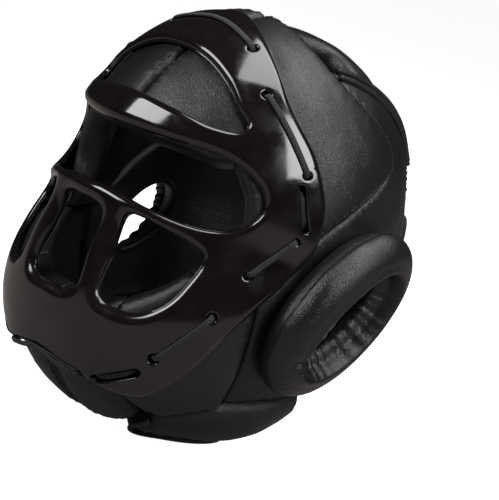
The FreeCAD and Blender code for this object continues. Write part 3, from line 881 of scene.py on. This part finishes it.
def make_ear():
    """A stuffed leather roll round the ear opening, gathered inside and pinched low at the front."""
    middle, long_way, short_way, outward = (np.array(v) for v in ear_frame())
    count, across = EAR_STEPS_ROUND, EAR_STEPS_ACROSS
    u = np.repeat(np.arange(count), across) * (2 * math.pi / count)
    v = np.tile(np.arange(across), count) * (2 * math.pi / across)
    round_long, round_short = np.cos(u)[:, None] * long_way, np.sin(u)[:, None] * short_way
    spoke = unit(round_long * EAR_WIDTH + round_short * EAR_LENGTH)
    rim = round_long * EAR_LENGTH + round_short * EAR_WIDTH
    forward = np.clip(-np.sin(u), 0, 1)
    low = np.clip(-np.cos(u), 0, 1)
    radius = EAR_ROLL * (1.0 - 0.05 * low)
    radius = radius * (1.0 + 0.16 * forward * np.clip(np.sin(v + math.radians(35)), 0, 1) * (v < math.pi))
    hollow = np.clip((v - math.radians(100)) / math.radians(80), 0, 1)
    radius = radius * (1.0 - 0.26 * np.sin(math.pi * hollow) ** 2)
    inner_side = np.clip(-np.cos(v), 0, 1) ** 0.7
    pleats = np.abs(np.sin(u * 13 + 0.8 * np.sin(u * 3))) ** 0.6 - 0.5
    pleats += 0.4 * np.sin(u * 31 + 2.0 * np.sin(u * 5 + 1.0))
    from_pinch = np.angle(np.exp(1j * (u - EAR_PINCH)))
    drawn = np.exp(-(from_pinch / 0.10) ** 2) * np.clip(np.cos(v - 2.4), 0, 1)
    outer_folds = np.exp(-(from_pinch / 0.5) ** 2) * np.sin(u * 46) * 0.5
    radius = radius + inner_side * pleats * 1.1 - drawn * 4.0 + outer_folds * np.clip(np.sin(v), 0, 1)
    lip = 1.7 * np.exp(-((v - math.radians(99)) / 0.17) ** 2)
    places = (middle + rim + spoke * (np.cos(v) * (radius + lip * 0.4))[:, None]
              + outward * (np.sin(v) * (radius + lip))[:, None])
    places += spoke * (0.35 * smooth_noise(places, 30, 50))[:, None]
    offset = places - MIDDLE
    length = np.linalg.norm(offset, axis=1)
    seat = shell.reach(offset / length[:, None]) - WING_DROP + 0.2
    places = MIDDLE + offset * (np.maximum(length, seat) / length)[:, None]
    faces = []
    for i in range(count):
        for j in range(across):
            i2, j2 = (i + 1) % count, (j + 1) % across
            faces.append((i * across + j, i2 * across + j, i2 * across + j2, i * across + j2))
    left = new_object("ear_roll_left", places, faces)
    fix_normals(left)
    wear_pair(left, "leather", SOFT_LEATHER, "ear_cover", "ear_foam", fill=EAR_FILL)


make_ear()


# ---------------------------------------------------------------- crown piece, tapes and neck closure

CROWN = Chart((0, 0.35, 1), up=(0, 1, 0))
BACK = Chart((0, 1, 0.1))
CROWN_HALF = [(0, 2.5), (14, 2.5), (17, 5), (20.5, 17), (27, 29), (45, 32), (50, 37), (50, 59), (45, 64),
              (27, 68), (20.5, 78), (17, 89), (14, 92.5), (0, 92.5)]


def make_crown():
    """Four-pointed pad that stands over the tapes."""
    places = whole_loop(row(top, *CROWN_HALF))
    loops = [outline(CROWN, places)]

    def outer(ways, d, along):
        spots = MIDDLE + ways * shell.reach(ways)[:, None]
        fullness = 1.6 * (1 - np.exp(-d / 7.0)) + 0.25 * smooth_noise(spots, 30, 60)
        return shell.reach(ways) - CROWN_DROP + fullness - rounded(d, 4.5)

    made = drape("crown_pad", CROWN, loops, outer, pad_lining(CROWN_BASE, 4.0), (0.5, 1.4, 2.8, 4.2))
    wear(made, "crown_pad", "leather", LEATHER, "crown_cover", "crown_foam")


def strip(name, chart, places, corners, drop, thickness, edge=0.5):
    """Flat tape or webbing on the head form, its face a drop below the shell's outside."""
    loops = [outline(chart, places, corners, 2.0)]

    def outer(ways, d, along):
        return shell.reach(ways) - drop - rounded(d, edge)

    def inner(ways, d, along):
        return shell.reach(ways) - (drop + thickness)

    return drape(name, chart, loops, outer, inner, (0.4, 1.6), grid=3.5)


TAPE_DROP = PAD + 0.15
TAPE_THICK = 1.6


def make_tapes():
    corners = (0, 2, 3, 5)
    across = row(top, (28, 38), (46, 38), (63, 38), (63, 58), (46, 58), (28, 58))
    left = strip("crown_tape_left_band", CROWN, across, corners, TAPE_DROP, TAPE_THICK)
    wear_pair(left, "tape", TAPE, "crown_tape")
    down = [top(10, 77)] + row(back, (10, 185), (10, 155), (-10, 155), (-10, 185)) + [top(-10, 77)]
    rear = strip("crown_tape_rear_band", BACK, down, corners, TAPE_DROP, TAPE_THICK)
    wear(rear, "shell", "tape", TAPE, "crown_tape_rear")


NECK_FREE_X = -52.0


def make_neck_pad():
    right_edge = [back(WING_REAR_X - SEAM, z) for z in (80, 110, 150, 186)]
    top_edge = row(back, (40, 184), (18, 176.5), (-16, 176.5), (-38, 184), (NECK_FREE_X + 3, 189))
    free_edge = [back(NECK_FREE_X, z) for z in (183, 150, 110, 76)]
    base = row(back, (NECK_FREE_X + 5, 66), (NECK_FREE_X + 16, 62), (0, 61.5), (WING_REAR_X - 16, 62),
               (WING_REAR_X - 4, 66))
    made = pad("neck_pad", (0, 1, 0.1), right_edge + top_edge + free_edge + base, (len(right_edge) - 1,),
               pad_outer(drop=WING_DROP, bulge=0.6, seed=70))
    wear(made, "shell", "leather", LEATHER, "neck_cover", "neck_foam")


STRAP_Z = 131.0
STRAP_HALF = 20.0
STRAP_LIFT = 2.5
STRAP_THICK = 3.0
SEAT_THICK = 6.0
HOOK_HALF, HOOK_DROP, HOOK_THICK = 18.0, 0.5, 1.4
LOOP_HALF, LOOP_DROP, LOOP_THICK = 26.0, 2.2, 1.5


def back_places(x_from, x_to, half_height, count=5):
    """Band round the back of the head at the strap's height, and the indices of its four corners."""
    xs = np.linspace(x_from, x_to, count)
    low = [back(x, STRAP_Z - half_height) for x in xs]
    high = [back(x, STRAP_Z + half_height) for x in reversed(xs)]
    return low + high, (0, count - 1, count, 2 * count - 1)


def make_closure():
    """Loop panel on the neck pad, and the strap with its hook tape, sewn to the wearer's right wing."""
    band = back_places(NECK_FREE_X + 6, WING_REAR_X - 4, LOOP_HALF)
    wear(strip("loop_panel_pile", BACK, *band, LOOP_DROP, LOOP_THICK), "shell", "loop", LOOP, "loop_panel")
    band = back_places(NECK_FREE_X + 10, 48, HOOK_HALF)
    wear(strip("hook_tape_pile", BACK, *band, HOOK_DROP, HOOK_THICK), "neck_strap", "hook", HOOK, "hook_tape")
    places, _ = back_places(-59.6, 50, STRAP_HALF, 7)
    places[6:8] = row(back, (46, STRAP_Z - STRAP_HALF), (50, STRAP_Z - 14), (50, STRAP_Z + 14),
                      (46, STRAP_Z + STRAP_HALF))
    ends = (0, len(places) - 1)
    strap = strip("neck_strap_webbing", BACK, places, ends, -STRAP_LIFT, STRAP_THICK, edge=1.2)
    wear(strap, "neck_strap", "webbing", TAPE, "closure_strap")
    band = back_places(-77.8, -60.1, STRAP_HALF, 3)
    seat = strip("strap_seat_webbing", BACK, *band, -STRAP_LIFT, SEAT_THICK, edge=1.4)
    wear(seat, "shell", "webbing", TAPE, "strap_anchor")


make_crown()
make_tapes()
make_neck_pad()
make_closure()


# ---------------------------------------------------------------- lace, piping and stitches

CORD_SIDES = 12


def sweep(path, width, height, upward):
    """Rounded flat cord along a path; upward gives its thin direction at each point."""
    tangent = unit(np.gradient(path, axis=0))
    up = unit(upward - tangent * (upward * tangent).sum(1, keepdims=True))
    across = np.cross(tangent, up)
    lengths = run_lengths(path)
    verts, faces, uvs = [], [], []
    for k in range(CORD_SIDES):
        angle = 2 * math.pi * k / CORD_SIDES
        c, s = math.cos(angle), math.sin(angle)
        wide = math.copysign(abs(c) ** 0.6, c) * width / 2
        high = math.copysign(abs(s) ** 0.8, s) * height / 2
        verts.append(path + across * wide + up * high)
        uvs.append(np.stack([lengths, np.full(len(path), wide)], 1))
    for i in range(0, (len(path) - 1) * CORD_SIDES, CORD_SIDES):
        for k in range(CORD_SIDES):
            k2 = (k + 1) % CORD_SIDES
            faces.append((i + k, i + k2, i + CORD_SIDES + k2, i + CORD_SIDES + k))
    faces.append(tuple(reversed(range(CORD_SIDES))))
    faces.append(tuple(range((len(path) - 1) * CORD_SIDES, len(path) * CORD_SIDES)))
    return np.stack(verts, 1).reshape(-1, 3), faces, np.stack(uvs, 1).reshape(-1, 2)


def join_parts(name, parts):
    """One mesh from several swept parts."""
    verts, faces, uvs = [], [], []
    base = 0
    for part_verts, part_faces, part_uvs in parts:
        verts.append(part_verts)
        uvs.append(part_uvs)
        faces += [tuple(i + base for i in f) for f in part_faces]
        base += len(part_verts)
    made = new_object(name, np.concatenate(verts), faces, np.concatenate(uvs))
    fix_normals(made)
    return made


def ways_from_head(path):
    return unit(np.array(path) - MIDDLE)


def open_curve(points, step=1.0):
    """Evenly stepped smooth line through a few places."""
    fine = curve_through(points, closed=False, step=0.4)
    lengths = run_lengths(fine)
    at = np.linspace(0, lengths[-1], max(4, int(lengths[-1] / step)))
    return np.stack([np.interp(at, lengths, fine[:, k]) for k in range(3)], 1)


LACE_WIDTH = 3.3
LACE_HEIGHT = 1.5
CROWN_BOW = (0, -42, 239)
CHIN_BOW = (0, -112, 46)


def stitch_path(start, end, inner_level=-4.5):
    """A lace stitch: up out of one eyelet, along the rim's face and down the next."""
    span = np.linalg.norm(np.array(end, float) - np.array(start, float))
    count = max(5, int(span / 5))
    places = [on_form(cage_form, start, inner_level), on_form(cage_form, start, -1.2)]
    for k in range(count + 1):
        t = (2.4 + (span - 4.8) * k / count) / span
        spot = np.array(start, float) * (1 - t) + np.array(end, float) * t
        places.append(on_form(cage_form, spot, 0.75 + 0.25 * math.sin(math.pi * k / count)))
    places += [on_form(cage_form, end, -1.2), on_form(cage_form, end, inner_level)]
    return open_curve(places)


def under_path(start, end):
    """The lace seen through a slot, lying just under the rim's face."""
    places = []
    for k in range(6):
        t = 0.06 + 0.88 * k / 5
        spot = np.array(start, float) * (1 - t) + np.array(end, float) * t
        drop = -2.6 if 0 < k < 5 else -4.2
        places.append(on_form(cage_form, spot, drop))
    return open_curve(places)


def make_lace():
    runs = []
    for stitch in LACE_STITCHES:
        runs += [stitch_path(*stitch), stitch_path(*mirror_places(stitch))]
    for ends in LACE_SLOTS:
        runs += [under_path(*ends), under_path(*mirror_places(ends))]
    for place, bow in ((CROWN_STITCH, CROWN_BOW), (CHIN_STITCH, CHIN_BOW)):
        first = stitch_path(place, bow)
        second = stitch_path(bow, *mirror_places([place]))
        runs.append(open_curve(np.concatenate([first[:-7:4], second[8::4]])))
    parts = [sweep(run, LACE_WIDTH, LACE_HEIGHT, ways_from_head(run)) for run in runs]
    wear(join_parts("rim_lace", parts), "shell", "lace", LACE, "cage_lace")


PIPING_WIDTH = 3.6
NECK_PIPING_WIDTH = 3.4


def piping_runs(rows, width):
    """Swept cord for each row of places."""
    runs = [open_curve(np.array(places)) for places in rows]
    return [sweep(run, width, width, ways_from_head(run)) for run in runs]


def make_piping():
    """Thin leather-covered cord along the jaw flaps, the wings' top edges and the neck pad."""
    jaw = [np.array((side(y, JAW_BASE + 0.5)[0] - 3.0, y, JAW_BASE - 0.8)) for y in (-54, -40, -22, -4, 12)]
    jaw = [side(-59, 19) + np.array((-3.5, 0, -1))] + jaw + [side(24, 19) + np.array((-2, 2.0, -1))]
    wing = row(top, (52.5, 7), (54.5, 20), (56.5, 40), (57, 58), (57, 74), (57, 88))
    wing = [on_form(shell, p, 1.2 - WING_DROP) for p in wing]
    inner_row = [on_form(shell, p + np.array((5.0, 0, 0)), 0.9 - WING_DROP) for p in wing]
    for piece, rows in (("jaw_piping", [jaw]), ("wing_piping", [wing, inner_row])):
        left = join_parts(piece + "_cord_left", piping_runs(rows, PIPING_WIDTH))
        wear_pair(left, "piping", PIPING, piece)
    neck = row(back, (NECK_FREE_X + 1, 84), (NECK_FREE_X + 5, 67), (NECK_FREE_X + 17, 62.5), (0, 62),
               (38, 62.5), (51, 68))
    neck = [on_form(shell, p, 1.0 - WING_DROP) for p in neck]
    cord = join_parts("neck_piping_cord", piping_runs([neck], NECK_PIPING_WIDTH))
    wear(cord, "shell", "piping", PIPING, "neck_piping")


STITCH_PITCH = 3.7
STITCH_LENGTH = 2.6
STITCH_RISE = (-0.35, 0.15, 0.25, 0.15, -0.35)
STITCH_WIDTH, STITCH_HEIGHT = 0.85, 0.65


def seam_row(cloth, places, facing, shift):
    """Thread stitches pressed into a pad's face, a little to one side of a seam."""
    mesh = cloth.data
    tree = BVHTree.FromPolygons([v.co for v in mesh.vertices], [p.vertices for p in mesh.polygons])
    chart = Chart(facing)
    line = curve_through(chart.flat(places), closed=False, step=0.5)
    lengths = run_lengths(line)
    tangent = unit(np.gradient(line, axis=0))
    line = line + np.stack([-tangent[:, 1], tangent[:, 0]], 1) * shift
    middle = (HEAD + TO_FRAME) * MM
    parts = []
    for start in np.arange(STITCH_PITCH * 0.7, lengths[-1] - STITCH_LENGTH - 1.0, STITCH_PITCH):
        at = start + np.array((0.0, 0.2, 0.5, 0.8, 1.0)) * STITCH_LENGTH
        ways = chart.ways(np.stack([np.interp(at, lengths, line[:, k]) for k in (0, 1)], 1))
        run = []
        for way, lift in zip(ways, STITCH_RISE):
            hit = tree.ray_cast(middle + Vector(way) * 0.25, -Vector(way))[0]
            if hit is not None:
                run.append(np.array(hit / MM - TO_FRAME) + way * lift)
        if len(run) == 5 and np.ptp([np.linalg.norm(p - MIDDLE) for p in run]) < 1.8:
            parts.append(sweep(np.array(run), STITCH_WIDTH, STITCH_HEIGHT, ways))
    return parts


def make_seam_stitches():
    """Twin rows beside the seams of the pads, on both sides of the head."""
    rows = {
        "forehead": [(forehead_seam, (0.1, -1, 0.8), (3.2, -3.2)), (under_rim, (1, -0.6, 0.8), (-3.0,))],
        "chin": [(chin_centre, (0.2, -1, -0.6), (3.2, -3.2)), (chin_seam, (0.5, -1, -0.4), (3.0,))],
        "cheek": [(chin_seam, (0.5, -1, -0.4), (-3.0,)), (cheek_seam, (1, -0.5, -0.3), (3.0,)),
                  (jaw_seam, (1, -0.5, -0.3), (3.0,))],
        "side": [(panel_rear, (1, 0, 0.4), (3.4, -3.4))],
        "jaw": [(flap_base, (1, 0, -0.8), (3.2, -3.2))],
        "wing": [(wing_top, (0.6, 0.4, 1), (6.0, -6.0))],
    }
    for piece, lines in rows.items():
        cloth = bpy.data.objects[piece + "_pad_left"]
        parts = [part for places, facing, shifts in lines for shift in shifts
                 for part in seam_row(cloth, places, facing, shift)]
        wear_pair(join_parts(piece + "_stitches_left", parts), "leather", THREAD, piece + "_cover")


make_lace()
make_piping()
make_seam_stitches()


# ---------------------------------------------------------------- floor and light

ROOM_LIGHT = 0.22
FLOOR_REACH = 40.0
MIDDLE_OF_HEAD = (0, 0, 0.12)
# name, place (m), size (m), power (W)
LIGHTS = (("key", (-0.5, -1.5, 1.35), (1.1, 0.8), 24),
          ("side_strip", (1.5, 0.25, 1.15), (0.6, 1.0), 18),
          ("over", (0.3, 0.3, 1.7), (1.1, 1.1), 22))


def make_stage():
    """Pale floor and soft studio light: the room looks white, and lights the piece only gently."""
    world = bpy.data.worlds.new("studio")
    world.use_nodes = True
    n = Nodes(world.node_tree)
    room = world.node_tree.nodes["Background"]
    seen = n.add("ShaderNodeLightPath").outputs["Is Camera Ray"]
    n.put(room.inputs["Strength"], n.spread(seen, 0.0, 1.0, ROOM_LIGHT, 1.0))
    bpy.context.scene.world = world
    bpy.context.scene.view_settings.view_transform = "Standard"
    mesh = bpy.data.meshes.new("floor")
    square = ((-1, -1), (1, -1), (1, 1), (-1, 1))
    mesh.from_pydata([(x * FLOOR_REACH, y * FLOOR_REACH, 0) for x, y in square], [], [(0, 1, 2, 3)])
    floor = bpy.data.objects.new("floor", mesh)
    bpy.context.scene.collection.objects.link(floor)
    material, n, shader = new_finish("pale_floor")
    shader.inputs["Roughness"].default_value = 0.95
    shader.inputs["Specular IOR Level"].default_value = 0.1
    shader.inputs["Emission Color"].default_value = (1, 1, 1, 1)
    looked_at = n.add("ShaderNodeLightPath").outputs["Is Camera Ray"]
    n.put(shader.inputs["Emission Strength"], n.spread(looked_at, 0.0, 1.0, 0.05, 0.95))
    n.put(shader.inputs["Base Color"], n.mix(looked_at, (0.22, 0.20, 0.19, 1), (0.85, 0.85, 0.85, 1)))
    mesh.materials.append(material)


def soft_box(name, place, size, power):
    """Area light that faces the middle of the head."""
    data = bpy.data.lights.new(name, "AREA")
    data.shape = "RECTANGLE"
    data.size, data.size_y = size
    data.energy = power
    light = bpy.data.objects.new(name, data)
    light.location = place
    light.rotation_euler = (Vector(MIDDLE_OF_HEAD) - Vector(place)).to_track_quat("-Z", "Y").to_euler()
    bpy.context.scene.collection.objects.link(light)


make_stage()
for light in LIGHTS:
    soft_box(*light)
